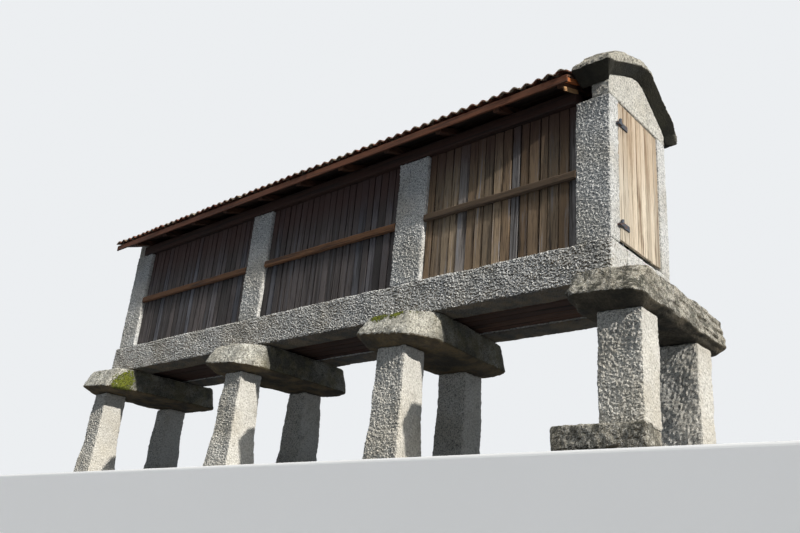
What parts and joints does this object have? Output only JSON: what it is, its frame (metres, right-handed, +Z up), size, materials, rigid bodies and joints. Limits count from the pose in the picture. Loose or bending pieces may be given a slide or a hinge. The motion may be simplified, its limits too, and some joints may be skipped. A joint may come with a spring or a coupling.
{
  "type": "raised granary",
  "caption": "Long narrow raised granary: stone pillars and capstones carry a stone frame with slatted timber walls, a tiled roof and a hinged end door.",
  "frame": {"origin": "centre of the ground plan at ground level, at the foot of the pillars", "axes": "+X towards the door end, -Y the long side facing the viewer, +Z up"},
  "size_m": [7.22, 1.57, 3.213],
  "materials": {
    "granite": "rough-dressed light grey speckled granite",
    "lichened_granite": "rough grey granite with dark and pale lichen and some moss",
    "weathered_slats": "unpainted slats weathered grey brown",
    "brown_timber": "rough reddish brown timber",
    "clay_tile": "fired clay, red brown with pale lichen",
    "door_wood": "upright boards bleached tan and grey",
    "dark_iron": "dark forged iron"
  },
  "bodies": {
    "granary": {"base_stone": "granite", "capstone_1": "lichened_granite", "capstone_2": "lichened_granite", "capstone_3": "lichened_granite", "capstone_4": "lichened_granite", "door_pintles": "dark_iron", "fascia_back": "brown_timber", "fascia_front": "brown_timber", "floor_boards": "brown_timber", "gable_cap": "lichened_granite", "gable_stone_door": "granite", "gable_stone_far": "granite", "pillars_back": "granite", "pillars_front": "granite", "posts_back": "granite", "posts_front": "granite", "rafters_back": "brown_timber", "rafters_front": "brown_timber", "rail_end": "brown_timber", "rails_back": "brown_timber", "rails_front": "brown_timber", "ridge_board": "brown_timber", "ridge_tiles": "clay_tile", "roof_deck_back": "brown_timber", "roof_deck_front": "brown_timber", "roof_tiles_back": "clay_tile", "roof_tiles_front": "clay_tile", "sill_back_1": "granite", "sill_back_2": "granite", "sill_back_3": "granite", "sill_ends": "granite", "sill_front_1": "granite", "sill_front_2": "granite", "sill_front_3": "granite", "slats_back_1": "weathered_slats", "slats_back_2": "weathered_slats", "slats_back_3": "weathered_slats", "slats_end": "weathered_slats", "slats_front_1": "weathered_slats", "slats_front_2": "weathered_slats", "slats_front_3": "weathered_slats", "wall_plate_back": "brown_timber", "wall_plate_front": "brown_timber"},
    "door": {"door_leaf": "door_wood", "door_straps": "dark_iron"}
  },
  "joints": [
    {"name": "door_hinge", "type": "hinge", "parent": "granary", "child": "door", "pos_m": [3.2955, -0.339, 2.1], "axis": [0, 0, -1], "range_deg": [0, 105]}
  ]
}
